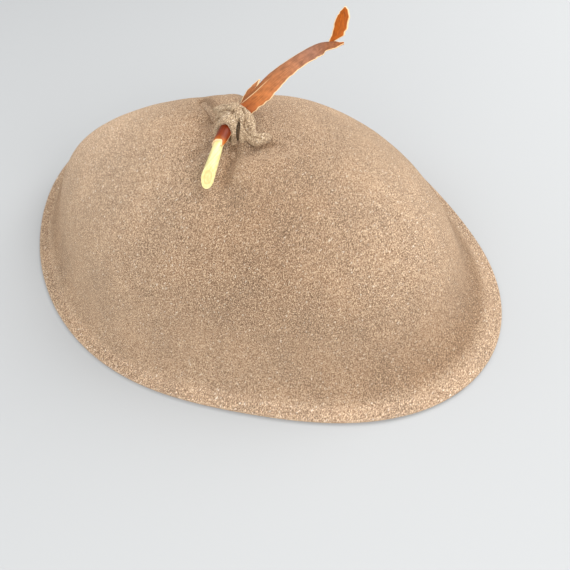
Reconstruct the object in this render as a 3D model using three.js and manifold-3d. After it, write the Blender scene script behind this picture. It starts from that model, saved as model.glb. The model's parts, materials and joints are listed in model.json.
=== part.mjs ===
// A soft felt hat: one moulded body of felt whose crown is drawn up into a knot, with a half-peeled
// twig pushed through it. Millimetres, +Z up. The hat lies on Z = 0 on its cut edge, and the origin
// is under the middle of its outline. +X runs along the hat's length and -Y is its front.
import * as THREE from 'three';
import { mergeVertices } from 'three/addons/utils/BufferGeometryUtils.js';
import Module from 'manifold-3d';

// Driving dimensions
const WALL = 2; // thickness of the felt
const CROWN_HEIGHT = 70; // top of the crown above what the hat lies on, without its knot
const EDGE = 3; // width of the ring by the cut edge that lies flat
const GAP = 0.3; // between pieces that touch
const WOOD_RADIUS = { cut: 2.8, knot: 2.2 }; // the twig's wood at its cut end and inside the knot
const CUT_SLANT = 1.5; // length of the slanted cut over the twig's width
const BARK = 0.6; // thickness of the bark
const BARK_RADIUS = WOOD_RADIUS.knot + GAP + BARK; // outside of the bark where it is still on the wood

// How finely the surfaces are divided
const AROUND = 56; // sections round the hat
const DOWN = 30; // rings from the crown's tip to the cut edge
const FIRST_RING = 0.09; // share of the profile at the first ring, round the tip's small flat
const STEPS = 2; // rings between two rows of a path's table
const BARK_ARC = 12; // points across the bark
const SIDES = { wood: 12, splinter: 6, lobe: 10, clearance: 16 }; // of the round and oval sections
const HEADING_STEP = 1e-3; // share of a path to either side over which its heading is taken
const LEAST_SLOPE = 1e-3; // a profile's slope below this has no direction
const SAME_ANGLE = 1e-9; // an angle this near to a table's row is on it

// The felt body's form: sections fanned round the tip every 30 degrees, from +X towards +Y. rim and
// brim are the cut edge's distance from the tip and the brim's width, root is the height where the
// brim leaves the crown, and the shoulder is the crown's bend, at a share of the root's radius.
const SECTIONS = [
  { rim: 139, brim: 22, root: 10, shoulder: 0.89, shoulderHeight: 44 }, // right end
  { rim: 119, brim: 15, root: 9, shoulder: 0.89, shoulderHeight: 40 },
  { rim: 112, brim: 14, root: 9, shoulder: 0.89, shoulderHeight: 34 },
  { rim: 106, brim: 15, root: 8, shoulder: 0.89, shoulderHeight: 32 }, // back
  { rim: 104, brim: 18, root: 8, shoulder: 0.90, shoulderHeight: 26 },
  { rim: 128, brim: 20, root: 8, shoulder: 0.91, shoulderHeight: 18 },
  { rim: 128, brim: 14, root: 9, shoulder: 0.93, shoulderHeight: 35 }, // left end
  { rim: 114, brim: 15, root: 10, shoulder: 0.92, shoulderHeight: 42 },
  { rim: 108, brim: 14, root: 11, shoulder: 0.90, shoulderHeight: 46 },
  { rim: 107, brim: 14, root: 12, shoulder: 0.89, shoulderHeight: 47 }, // front
  { rim: 113, brim: 17, root: 12, shoulder: 0.88, shoulderHeight: 47 },
  { rim: 135, brim: 21, root: 11, shoulder: 0.88, shoulderHeight: 47 },
];
const TOP_REACH = 0.42; // share of the root's radius over which the crown's top stays level
const BRIM_DIP = 0.35; // share of the root's height that is left at the middle of the brim
const BRIM_RISE = 1.2; // height of the brim's middle above that

// Folds of the felt round the knot: each is a ridge (height > 0) or a valley along a line from
// (x0, y0) to (x1, y1), seen from the tip, that fades over its width to either side.
const FOLDS = [
  { name: 'pulled-up felt behind the knot', x0: -19, y0: 12, x1: -7, y1: 7, width: 12, height: 5.5 },
  { name: 'valley on the left', x0: -29, y0: 9, x1: -10, y1: -11, width: 4, height: -2.5 },
  { name: 'valley left of the twig', x0: -13, y0: -18, x1: -5, y1: -37, width: 7, height: -1.5 },
  { name: 'valley right of the twig', x0: 4, y0: -17, x1: 13, y1: -41, width: 5, height: -1.5 },
  { name: 'valley under the right lobe', x0: 8, y0: -16, x1: 22, y1: -8, width: 4, height: -1.5 },
  { name: 'soft dent in the front', x0: -21, y0: -53, x1: -9, y1: -73, width: 14, height: -1.5 },
];

// The twig's middle line, seen from the tip, from the cut end to the knot.
const TWIG = [
  { x: 3.2, y: -37.2, z: 72.1 },
  { x: 1.6, y: -29.2, z: 72.9 },
  { x: -0.4, y: -20.4, z: 73.9 },
  { x: -1.4, y: -11.5, z: 74.8 },
  { x: -1.4, y: -3.5, z: 75.7 },
];

const WOOD_TAPER = 2; // stretches of the twig over which its wood narrows to its size in the knot

// The bark, seen from the tip: sections across it, with the radius that it is curled to, how far it
// reaches to the left and right of its middle along the curl, and how far it leans to the right.
const BARK_SECTIONS = [
  { x: -0.4, y: -20.4, z: 73.9, radius: 3.1, left: 8.2, right: 6.2, lean: 0 }, // end on the wood
  { x: -1.4, y: -11.5, z: 74.8, radius: 3.1, left: 8.3, right: 7.6, lean: 0 },
  { x: -1.4, y: -3.5, z: 75.7, radius: 3.1, left: 7.4, right: 6.2, lean: 4 },
  { x: 0.0, y: 2.5, z: 77.3, radius: 4.2, left: 7.6, right: 5.4, lean: 6 }, // out of the knot
  { x: 3.5, y: 9.7, z: 80.3, radius: 6.6, left: 9.6, right: 5.8, lean: 6 },
  { x: 7.1, y: 16.7, z: 83.8, radius: 8.2, left: 8.2, right: 5.2, lean: 8 },
  { x: 10.6, y: 23.6, z: 86.8, radius: 8.4, left: 6.0, right: 4.5, lean: 10 },
  { x: 14.5, y: 30.5, z: 89.2, radius: 8.0, left: 5.2, right: 3.8, lean: 12 },
  { x: 19.0, y: 36.6, z: 91.1, radius: 8.0, left: 4.2, right: 3.3, lean: 10 },
  { x: 23.4, y: 41.5, z: 93.0, radius: 8.0, left: 3.2, right: 2.6, lean: 6 }, // where it forks
  { x: 25.7, y: 45.4, z: 96.4, radius: 8.0, left: 2.6, right: 3.5, lean: 0 },
  { x: 26.8, y: 49.6, z: 101.4, radius: 8.0, left: 3.3, right: 4.7, lean: 0 },
  { x: 27.8, y: 55.3, z: 107.6, radius: 8.0, left: 2.0, right: 2.9, lean: 0 }, // tip of the blade
];

// The short splinter beside the blade: its middle line, and half its width.
const SPLINTER = [
  { x: 21.4, y: 37.9, z: 93.8, half: 1.3 },
  { x: 26.1, y: 40.9, z: 95.3, half: 1.2 },
  { x: 30.6, y: 43.9, z: 96.5, half: 0.4 },
];

// The flap that stands away from the bark's left edge behind the knot, in the same way.
const TORN_FLAP = [
  { x: -2.3, y: 7.2, z: 77.6, half: 1.5 },
  { x: -2.3, y: 10.4, z: 79.0, half: 2.4 },
  { x: -1.8, y: 13.4, z: 80.7, half: 2.4 },
  { x: -0.9, y: 16.4, z: 82.6, half: 1.7 },
  { x: 0.0, y: 18.4, z: 84.6, half: 0.5 },
];

// The knot's band over the twig: the corners of its section, right of and above the twig's middle
// line. The twig and its bark are cut out of it.
const BAND_OUTSIDE = [
  { right: -12.0, up: -8.0 },
  { right: -11.5, up: -3.5 },
  { right: -9.4, up: 0.5 },
  { right: -6.7, up: 3.5 },
  { right: -3.5, up: 5.7 },
  { right: 0.4, up: 6.2 },
  { right: 3.9, up: 5.0 },
  { right: 5.8, up: 2.1 },
  { right: 6.1, up: -1.8 },
  { right: 6.4, up: -8.0 },
];
// The band's stations, as a share of the first three stretches of the bark, and its size there.
const BAND_ALONG = [
  { along: 0.34, size: 0.86 },
  { along: 0.4, size: 1.0 },
  { along: 0.65, size: 1.04 },
  { along: 0.9, size: 0.98 },
  { along: 0.98, size: 0.84 },
];
const BAND_SKEW = 0.35; // how far the band's left foot lies further back, over its distance
const BAND_ROWS = 4; // rows of the bark's table that the band's stations are shares of
const CLEARANCE_ROWS = 5; // and that the hole through the knot follows

// The knot's lobe, a roll of felt that comes down beside the band and turns to the right, seen from
// the tip: its middle line, half its width and half its height.
const LOBE = [
  { x: 0.7, y: 5.0, z: 75.0, wide: 2.7, high: 2.7 },
  { x: 4.1, y: 0.4, z: 74.3, wide: 3.4, high: 3.2 },
  { x: 6.9, y: -5.8, z: 72.7, wide: 3.5, high: 3.4 },
  { x: 10.3, y: -9.2, z: 71.6, wide: 3.0, high: 3.0 },
  { x: 14.5, y: -8.0, z: 71.1, wide: 2.3, high: 2.3 },
];
const FLOOR = 48; // a height well inside the crown, for cutting the knot to its top
const UNDER_CROWN = { rings: 15, hub: 0.02 }; // rings of that cut, and the size of its bottom's hub

const FELT = new THREE.MeshStandardMaterial({ color: 0xa08c74, roughness: 0.95, metalness: 0 });
const KNOT_FELT = new THREE.MeshStandardMaterial({ color: 0x9d8e7b, roughness: 0.95, metalness: 0 });
const WOOD = new THREE.MeshStandardMaterial({ color: 0xe6dc9c, roughness: 0.6, metalness: 0 });
const BARK_FINISH = new THREE.MeshStandardMaterial({ color: 0x8e4a2a, roughness: 0.4, metalness: 0 });

const columnOf = (rows, name) => rows.map((row) => row[name]);

// The value at an angle of a column that repeats round the circle: a sum of periodic sinc waves.
function aroundCircle(column, angle) {
  const n = column.length;
  return column.reduce((sum, value, row) => {
    const away = angle - (2 * Math.PI * row) / n;
    const near = Math.abs(Math.sin(away / 2)) < SAME_ANGLE;
    return sum + (near ? value : (value * Math.sin((n * away) / 2)) / (n * Math.tan(away / 2)));
  }, 0);
}

// A uniform cubic B-spline from the first control value to the last, and its slope, at share t.
function bspline(control, t) {
  const last = control.length - 1;
  const padded = [control[0], control[0], ...control, control[last], control[last]];
  const spans = padded.length - 3;
  const span = Math.min(Math.floor(t * spans), spans - 1);
  const f = t * spans - span;
  const nearer = [3 * f ** 3 - 6 * f ** 2 + 4, -3 * f ** 3 + 3 * f ** 2 + 3 * f + 1];
  const weights = [(1 - f) ** 3, ...nearer, f ** 3];
  const slopes = [-((1 - f) ** 2), 3 * f ** 2 - 4 * f, -3 * f ** 2 + 2 * f + 1, f ** 2];
  const sum = (factors) => factors.reduce((total, factor, k) => total + factor * padded[span + k], 0);
  return { value: sum(weights) / 6, slope: sum(slopes) / 2 };
}

// A column of an open table at share t, by Catmull-Rom, with its first and last rows repeated.
function alongTable(column, t) {
  const spans = column.length - 1;
  const span = Math.min(Math.floor(t * spans), spans - 1);
  const f = t * spans - span;
  const at = (k) => column[Math.max(0, Math.min(spans, k))];
  const [a, b, c, d] = [at(span - 1), at(span), at(span + 1), at(span + 2)];
  const cubic = -a + 3 * b - 3 * c + d;
  return b + 0.5 * f * (c - a + f * (2 * a - 5 * b + 4 * c - d + f * cubic));
}

// Height that the folds add at a point: each fades as exp(-(distance / width)^2) from its line.
function foldHeight(x, y) {
  return FOLDS.reduce((sum, fold) => {
    const line = new THREE.Line3(
      new THREE.Vector3(fold.x0, fold.y0, 0),
      new THREE.Vector3(fold.x1, fold.y1, 0),
    );
    const spot = new THREE.Vector3(x, y, 0);
    const away = line.closestPointToPoint(spot, true, new THREE.Vector3()).distanceTo(spot);
    return sum + fold.height * Math.exp(-((away / fold.width) ** 2));
  }, 0);
}

// A point of the felt at an angle round the tip and a share t of the way down its profile. depth is
// how far it lies under the outer surface, square to the profile.
function feltPoint(angle, t, depth) {
  const rim = aroundCircle(columnOf(SECTIONS, 'rim'), angle);
  const brim = aroundCircle(columnOf(SECTIONS, 'brim'), angle);
  const rootHeight = aroundCircle(columnOf(SECTIONS, 'root'), angle);
  const shoulder = aroundCircle(columnOf(SECTIONS, 'shoulder'), angle);
  const shoulderHeight = aroundCircle(columnOf(SECTIONS, 'shoulderHeight'), angle);
  const root = rim - brim;
  const crownOut = [0, TOP_REACH * root, shoulder * root, root];
  const crownUp = [CROWN_HEIGHT, CROWN_HEIGHT, shoulderHeight, rootHeight];
  const out = [...crownOut, root + brim / 2, rim - 2 * EDGE, rim - EDGE, rim];
  const up = [...crownUp, BRIM_DIP * rootHeight + BRIM_RISE, WALL, WALL, WALL];
  const radius = bspline(out, t);
  const height = bspline(up, t);
  const steep = Math.hypot(radius.slope, height.slope);
  const level = steep < LEAST_SLOPE; // the profile's very end, where the edge lies flat
  const reach = radius.value + (level ? 0 : (depth * height.slope) / steep);
  const x = reach * Math.cos(angle);
  const y = reach * Math.sin(angle);
  const drop = level ? depth : (depth * radius.slope) / steep;
  return new THREE.Vector3(x, y, Math.max(height.value - drop + foldHeight(x, y), 0));
}

// A closed body through rings of points, each ring with the same even number of points. The first
// and last rings are closed by a ribbon of faces from one side of the ring to the other.
function loft(rings) {
  const n = rings[0].length;
  const index = [];
  for (let ring = 0; ring < rings.length - 1; ring++) {
    for (let k = 0; k < n; k++) {
      const a = ring * n + k;
      const b = ring * n + ((k + 1) % n);
      index.push(a, b, b + n, a, b + n, a + n);
    }
  }
  const lastRing = (rings.length - 1) * n;
  for (let k = 0; k < n / 2 - 1; k++) {
    const [a, b, c, d] = [k, k + 1, n - 2 - k, n - 1 - k];
    index.push(a, c, b, a, d, c);
    index.push(lastRing + a, lastRing + b, lastRing + c, lastRing + a, lastRing + c, lastRing + d);
  }
  const geometry = new THREE.BufferGeometry().setFromPoints(rings.flat());
  geometry.setIndex(index);
  geometry.computeVertexNormals();
  return geometry;
}

// Directions to the right of a path and up from it, where it heads along tangent, leaning by degrees.
function across(tangent, lean = 0) {
  const right = new THREE.Vector3().crossVectors(tangent, new THREE.Vector3(0, 0, 1)).normalize();
  const up = new THREE.Vector3().crossVectors(right, tangent).normalize();
  const turn = new THREE.Quaternion().setFromAxisAngle(tangent, THREE.MathUtils.degToRad(lean));
  return { right: right.applyQuaternion(turn), up: up.applyQuaternion(turn) };
}

// The place and heading at share t of a table's path.
function pathAt(rows, t) {
  const at = (share) => new THREE.Vector3(
    alongTable(columnOf(rows, 'x'), share),
    alongTable(columnOf(rows, 'y'), share),
    alongTable(columnOf(rows, 'z'), share),
  );
  const before = at(Math.max(t - HEADING_STEP, 0));
  const after = at(Math.min(t + HEADING_STEP, 1));
  return { place: at(t), tangent: after.sub(before).normalize() };
}

// Rings of an oval section carried along a table's path, with half sizes from two of its columns.
function ovalTube(rows, wide, high, sides) {
  const count = (rows.length - 1) * STEPS;
  return Array.from({ length: count + 1 }, (_, ring) => {
    const t = ring / count;
    const { place, tangent } = pathAt(rows, t);
    const { right, up } = across(tangent);
    const a = alongTable(columnOf(rows, wide), t);
    const b = alongTable(columnOf(rows, high), t);
    return Array.from({ length: sides }, (_, k) => {
      const angle = (-2 * Math.PI * k) / sides;
      return place.clone()
        .addScaledVector(right, a * Math.cos(angle))
        .addScaledVector(up, b * Math.sin(angle));
    });
  });
}

// Shares of the profile at the felt's first rings, from the tip.
function ringShares(count) {
  return Array.from({ length: count }, (_, j) => (
    THREE.MathUtils.lerp(FIRST_RING, 1, j / (DOWN - 1))
  ));
}

// The felt body: down the outside from the tip to the cut edge, and back up the inside.
function feltShell() {
  const ringAt = (t, depth) => Array.from({ length: AROUND }, (_, k) => (
    feltPoint((-2 * Math.PI * k) / AROUND, t, depth)
  ));
  const shares = ringShares(DOWN);
  const outside = shares.map((t) => ringAt(t, 0));
  const inside = shares.map((t) => ringAt(t, WALL)).reverse();
  return loft([...outside, ...inside]);
}

// The solid under the crown's top, raised by a height, which the knot is cut to sit on.
function underCrown(raised) {
  const rings = ringShares(UNDER_CROWN.rings).map((t) => Array.from({ length: AROUND }, (_, k) => {
    const spot = feltPoint((-2 * Math.PI * k) / AROUND, t, 0);
    return spot.setZ(spot.z + raised);
  }));
  const bottom = rings[rings.length - 1].map((spot) => spot.clone().setZ(FLOOR));
  const hub = bottom.map((spot) => spot.clone().multiplyScalar(UNDER_CROWN.hub).setZ(FLOOR));
  return loft([...rings, bottom, hub]);
}

// The twig's wood, round, with its front end cut on a slant that faces up and forwards.
function twigWood() {
  const rows = TWIG.map((row, k) => ({
    ...row,
    radius: THREE.MathUtils.lerp(WOOD_RADIUS.cut, WOOD_RADIUS.knot, Math.min(k / WOOD_TAPER, 1)),
  }));
  const rings = ovalTube(rows, 'radius', 'radius', SIDES.wood);
  const { place, tangent } = pathAt(rows, 0);
  const { up } = across(tangent);
  const cut = rings[0].map((spot) => {
    const height = spot.clone().sub(place).dot(up);
    return spot.clone().addScaledVector(tangent, CUT_SLANT * height - WOOD_RADIUS.cut);
  });
  return loft([cut, ...rings.slice(1)]);
}

// The bark: an arc of bark carried along its path, curled to a radius whose middle sinks below the
// path as it flattens, so that the top of the curl stays on one smooth line.
function barkStrip() {
  const count = (BARK_SECTIONS.length - 1) * STEPS;
  const value = (name, t) => alongTable(columnOf(BARK_SECTIONS, name), t);
  const rings = Array.from({ length: count + 1 }, (_, ring) => {
    const t = ring / count;
    const { place, tangent } = pathAt(BARK_SECTIONS, t);
    const { right, up } = across(tangent, value('lean', t));
    const radius = value('radius', t);
    const middle = place.clone().addScaledVector(up, BARK_RADIUS - radius);
    const arc = (size) => Array.from({ length: BARK_ARC }, (_, k) => {
      const reach = THREE.MathUtils.lerp(-value('left', t), value('right', t), k / (BARK_ARC - 1));
      const turn = reach / radius;
      return middle.clone()
        .addScaledVector(right, size * Math.sin(turn))
        .addScaledVector(up, size * Math.cos(turn));
    });
    return [...arc(radius), ...arc(radius - BARK).reverse()];
  });
  return loft(rings);
}

// A tube over the twig and its bark inside the knot, a little larger than they are, and widening
// where the bark opens.
function barkClearance() {
  const rows = BARK_SECTIONS.slice(0, CLEARANCE_ROWS).map((row) => ({
    ...row,
    wide: row.radius + 2 * GAP,
    high: BARK_RADIUS + 2 * GAP,
  }));
  return loft(ovalTube(rows, 'wide', 'high', SIDES.clearance));
}

// The band of the knot: felt over the twig, widest on its left foot.
function knotBand() {
  const rings = BAND_ALONG.map((station) => {
    const { place, tangent } = pathAt(BARK_SECTIONS.slice(0, BAND_ROWS), station.along);
    const { right, up } = across(tangent);
    return BAND_OUTSIDE.map((corner) => place.clone()
      .addScaledVector(right, corner.right * station.size)
      .addScaledVector(up, corner.up * station.size)
      .addScaledVector(tangent, -corner.right * BAND_SKEW));
  });
  return loft(rings);
}

// A geometry as a solid for joining and cutting, and back.
function toSolid(wasm, geometry) {
  const plain = geometry.clone();
  plain.deleteAttribute('normal');
  const merged = mergeVertices(plain);
  return new wasm.Manifold(new wasm.Mesh({
    numProp: 3,
    vertProperties: merged.attributes.position.array,
    triVerts: new Uint32Array(merged.index.array),
  }));
}

function toGeometry(solid) {
  const { vertProperties, triVerts } = solid.getMesh();
  const geometry = new THREE.BufferGeometry();
  geometry.setAttribute('position', new THREE.BufferAttribute(vertProperties, 3));
  geometry.setIndex(new THREE.BufferAttribute(triVerts, 1));
  geometry.computeVertexNormals();
  return geometry;
}

// The knot: its band and its lobe in one, cut to sit on the crown and clear of the bark.
function feltKnot(wasm) {
  const lobe = toSolid(wasm, loft(ovalTube(LOBE, 'wide', 'high', SIDES.lobe)));
  const joined = toSolid(wasm, knotBand()).add(lobe);
  const clearance = toSolid(wasm, barkClearance());
  return toGeometry(joined.subtract(clearance).subtract(toSolid(wasm, underCrown(GAP))));
}

// The bark's strip with the splinter and the torn flap grown to it.
function tornBark(wasm) {
  const flat = (table) => {
    const rows = table.map((row) => ({ ...row, thin: BARK / 2 }));
    return toSolid(wasm, loft(ovalTube(rows, 'half', 'thin', SIDES.splinter)));
  };
  return toGeometry(toSolid(wasm, barkStrip()).add(flat(SPLINTER)).add(flat(TORN_FLAP)));
}

function piece(name, geometry, material) {
  const mesh = new THREE.Mesh(geometry, material);
  mesh.name = name;
  return mesh;
}

const wasm = await Module();
wasm.setup();

// Everything is placed round the crown's tip, and the whole is moved to its own middle.
const hat = new THREE.Group();
hat.add(
  piece('felt_crown', feltShell(), FELT),
  piece('felt_knot', feltKnot(wasm), KNOT_FELT),
  piece('twig_wood', twigWood(), WOOD),
  piece('bark_strip', tornBark(wasm), BARK_FINISH),
);
const box = new THREE.Box3().setFromObject(hat);
const middle = box.getCenter(new THREE.Vector3());
hat.position.set(-middle.x, -middle.y, 0);

export default hat;
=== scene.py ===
# %% [markdown]
# A felt hat, knotted round a twig
#
# The hat is one piece of thick wool felt, moulded while wet into a soft dome that runs out into a
# narrow brim. Its crown is drawn up and knotted round a twig. The twig's wood is peeled in front,
# and its bark is left on in the knot and curls up behind it. The frame holds the four solids at
# their real size. Here each of them gets a finer surface in the same place, and its finish.

# %% Load the frame
import json
import bmesh
import bpy
import numpy as np
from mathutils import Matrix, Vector

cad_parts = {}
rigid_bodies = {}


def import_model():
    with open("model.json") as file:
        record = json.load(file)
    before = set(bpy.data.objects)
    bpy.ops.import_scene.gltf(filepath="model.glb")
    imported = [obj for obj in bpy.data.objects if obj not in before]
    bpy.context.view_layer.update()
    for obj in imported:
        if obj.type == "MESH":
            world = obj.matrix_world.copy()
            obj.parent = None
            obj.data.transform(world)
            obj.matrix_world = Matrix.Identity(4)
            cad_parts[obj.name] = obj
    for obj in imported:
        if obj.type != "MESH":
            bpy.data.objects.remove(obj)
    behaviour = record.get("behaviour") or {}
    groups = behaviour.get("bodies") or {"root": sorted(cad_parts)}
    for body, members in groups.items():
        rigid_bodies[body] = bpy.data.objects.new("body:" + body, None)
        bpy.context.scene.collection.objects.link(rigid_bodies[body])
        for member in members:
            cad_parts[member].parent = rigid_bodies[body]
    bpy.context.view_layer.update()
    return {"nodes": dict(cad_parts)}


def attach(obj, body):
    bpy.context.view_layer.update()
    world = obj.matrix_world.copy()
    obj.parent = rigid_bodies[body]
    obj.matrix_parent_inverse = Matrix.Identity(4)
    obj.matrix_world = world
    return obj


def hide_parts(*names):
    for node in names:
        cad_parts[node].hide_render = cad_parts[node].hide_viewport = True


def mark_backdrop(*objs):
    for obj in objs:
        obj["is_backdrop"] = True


MM = 0.001
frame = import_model()
print("solids:", ", ".join(sorted(frame["nodes"])))

# %% [markdown]
# The camera
#
# The view looks down at the hat at about 50 degrees, turned 25 degrees to its right. A camera can
# be placed by hand or tracked to an empty. Here its place is worked out from the two angles, the
# distance and the point that the picture is centred on, so the view can be checked against the real
# one.

# %% Camera
TIP = Vector((-5.24, -0.38, 0)) * MM  # under the crown's tip, which every shape is measured from
AIM = TIP + Vector((33.4, -25.5, 0)) * MM  # the picture's middle, on the floor
AZIMUTH, ELEVATION, FIELD_OF_VIEW = np.radians([25, 50, 50])
DISTANCE = 315 * MM
NEAREST = 10 * MM  # nothing closer to the camera is drawn

camera = bpy.data.objects.new("camera", bpy.data.cameras.new("camera"))
bpy.context.scene.collection.objects.link(camera)
backward = Vector((
    np.sin(AZIMUTH) * np.cos(ELEVATION),
    -np.cos(AZIMUTH) * np.cos(ELEVATION),
    np.sin(ELEVATION),
))
camera.location = AIM + backward * DISTANCE
camera.rotation_euler = (-backward).to_track_quat("-Z", "Y").to_euler()
camera.data.angle = FIELD_OF_VIEW
camera.data.clip_start = NEAREST
bpy.context.scene.camera = camera
print("camera at", [round(value / MM) for value in camera.location], "mm")

# %% [markdown]
# Materials from shader nodes
#
# Felt, wood and bark get their colour from fibres and growth, so a plain colour looks false on
# them. A picture of the real thing could be wrapped round each shape. Here a few short functions
# mix noises, ramps and the shapes' own attributes instead, so that a finish has a size in real
# millimetres, fits the shape from every side, and can be read from its formula.

# %% Colour and node helpers
def linear(hex_colour):
    """An sRGB hex colour as linear RGBA: c / 12.92 where c is small, else ((c + 0.055) / 1.055)^2.4."""
    srgb = np.array([int(hex_colour[k:k + 2], 16) for k in (1, 3, 5)]) / 255
    values = np.where(srgb <= 0.04045, srgb / 12.92, ((srgb + 0.055) / 1.055) ** 2.4)
    return (*values.tolist(), 1.0)


def add_node(tree, kind, inputs=None, **properties):
    """Adds one shader node with its properties. Each of its inputs is fed by a socket, or set."""
    node = tree.nodes.new("ShaderNode" + kind)
    for name, value in properties.items():
        setattr(node, name, value)
    for name, value in (inputs or {}).items():
        if isinstance(value, bpy.types.NodeSocket):
            tree.links.new(value, node.inputs[name])
        else:
            node.inputs[name].default_value = value
    return node


def new_material(name, values):
    """A material with one Principled shader whose named sockets are set. Gives it and its tree."""
    material = bpy.data.materials.new(name)
    material.use_nodes = True
    shader = material.node_tree.nodes["Principled BSDF"]
    for socket, value in values.items():
        shader.inputs[socket].default_value = value
    return material, material.node_tree, shader


def object_place(tree):
    """The place on the object, in metres, which stays with the surface from every side."""
    return add_node(tree, "TexCoord").outputs["Object"]


def attribute(tree, name):
    """A number that the mesh holds at each of its points."""
    return add_node(tree, "Attribute", attribute_name=name).outputs["Fac"]


def stretched(tree, place, scale, rotation=(0, 0, 0)):
    """A place turned and scaled along each axis. A pattern is drawn longer where the scale is small."""
    inputs = {"Vector": place, "Rotation": rotation, "Scale": scale}
    return add_node(tree, "Mapping", inputs).outputs["Vector"]


def noise(tree, place, size, detail, distortion=0.0):
    """Soft noise from 0 to 1 whose spots are about size wide, in the unit of the place."""
    inputs = {"Vector": place, "Scale": 1 / size, "Detail": detail, "Distortion": distortion}
    return add_node(tree, "TexNoise", inputs).outputs["Fac"]


def spread(tree, value, low, high, to_low=0.0, to_high=1.0):
    """A value carried in a straight line from low..high to to_low..to_high, and held beyond."""
    inputs = {"Value": value, "From Min": low, "From Max": high, "To Min": to_low, "To Max": to_high}
    return add_node(tree, "MapRange", inputs).outputs["Result"]


def combined(tree, operation, first, second=0.0):
    """One number from two, such as their sum or the larger one."""
    return add_node(tree, "Math", {0: first, 1: second}, operation=operation).outputs["Value"]


def mixed(tree, amount, first, second, blend="MIX"):
    """Two colours mixed by an amount: 0 leaves the first, and 1 gives the whole blend."""
    amount_socket, first_socket, second_socket, result_socket = 0, 6, 7, 2  # those for colours
    inputs = {amount_socket: amount, first_socket: first, second_socket: second}
    node = add_node(tree, "Mix", inputs, data_type="RGBA", blend_type=blend)
    return node.outputs[result_socket]


def colour_ramp(tree, value, stops):
    """The colour at a value on a ramp through stops: a position with a hex colour, grey or tint."""
    node = add_node(tree, "ValToRGB", {"Fac": value})
    steps = node.color_ramp.elements
    colours = [
        linear(colour) if isinstance(colour, str) else (*np.broadcast_to(colour, 3).tolist(), 1.0)
        for _, colour in stops
    ]
    for (position, _), colour in zip(stops[1:-1], colours[1:-1]):
        steps.new(position).color = colour
    for end in (0, -1):
        steps[end].position, steps[end].color = stops[end][0], colours[end]
    return node.outputs["Color"]


def feed(tree, shader, colour, height, strength, depth):
    """Gives the shader its colour, and the bumps of a height that is depth metres deep where it is 1."""
    bump = add_node(tree, "Bump", {"Height": height, "Strength": strength, "Distance": depth})
    tree.links.new(colour, shader.inputs["Base Color"])
    tree.links.new(bump.outputs["Normal"], shader.inputs["Normal"])


print("colour check: #808080 is", round(linear("#808080")[0], 3), "in linear light")

# %% [markdown]
# Floor and light
#
# The light is plain and soft, so that the felt's form shows in slow shades and the twig has no hard
# glare. A picture of a room could light it. Four broad lamps over a pale matt floor are simpler and
# keep their directions: the strongest stands above and behind, and lights the crown's top and right
# side, two stand in front and on the right, and a weak one fills the left.

# %% Floor and light
FLOOR_SIZE, FLOOR_DROP = 6, 0.2 * MM  # the floor lies a hair under the cut edge
CROWN_MIDDLE = Vector((0, 0, 40)) * MM
LAMPS = {  # place in mm from the hat's middle, width in mm, power in watts
    "key_right": ((640, -300, 480), 420, 3.6),
    "front": ((60, -700, 420), 600, 3.4),
    "fill_left": ((-560, -60, 480), 600, 1.5),
    "top_behind": ((260, 520, 620), 600, 5.8),
}
SKY_COLOUR, SKY_STRENGTH = "#e8ebef", 0.6

floor_material = new_material("matt_paper", {"Base Color": linear("#b4b5b5"), "Roughness": 0.9})[0]
bpy.ops.mesh.primitive_plane_add(size=FLOOR_SIZE, location=(0, 0, -FLOOR_DROP))
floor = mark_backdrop(bpy.context.object) or bpy.context.object
floor.name = "floor"
floor.data.materials.append(floor_material)


def area_light(name, place, width, power):
    """A square lamp at a place in millimetres from the hat's middle, turned to face the crown."""
    lamp = bpy.data.objects.new(name, bpy.data.lights.new(name, "AREA"))
    lamp.data.size = width * MM
    lamp.data.energy = power
    lamp.location = Vector(place) * MM
    lamp.rotation_euler = (CROWN_MIDDLE - lamp.location).to_track_quat("-Z", "Y").to_euler()
    bpy.context.scene.collection.objects.link(lamp)


for name, (place, width, power) in LAMPS.items():
    area_light(name, place, width, power)
world = bpy.data.worlds.new("studio")
world.use_nodes = True
sky = world.node_tree.nodes["Background"]
sky.inputs["Color"].default_value = linear(SKY_COLOUR)
sky.inputs["Strength"].default_value = SKY_STRENGTH
bpy.context.scene.world = world
bpy.context.scene.view_settings.view_transform = "Standard"
print("lamps:", ", ".join(LAMPS))

# %% [markdown]
# Surfaces from arrays
#
# Every piece is a skin over rings of points, and the knot is made from three such skins. The rings
# are worked out with numpy, all at once, and joined by quads. That keeps each shape a formula that
# can be read and changed, where a sculpt could only be done again. The skin's signed volume tells
# which way its faces look.

# %% Surface helpers
FROM_TIP = np.array(TIP) / MM  # added to a shape's points, which are in mm from the tip's foot
MM3_PER_CM3 = 1000
LATTICE = 64  # the noise repeats after so many cells


def add_attribute(mesh, label, values):
    """Stores one number at each point of a mesh, for its material to read."""
    layer = mesh.attributes.new(label, "FLOAT", "POINT")
    layer.data.foreach_set("value", values.astype(np.float32))


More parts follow.
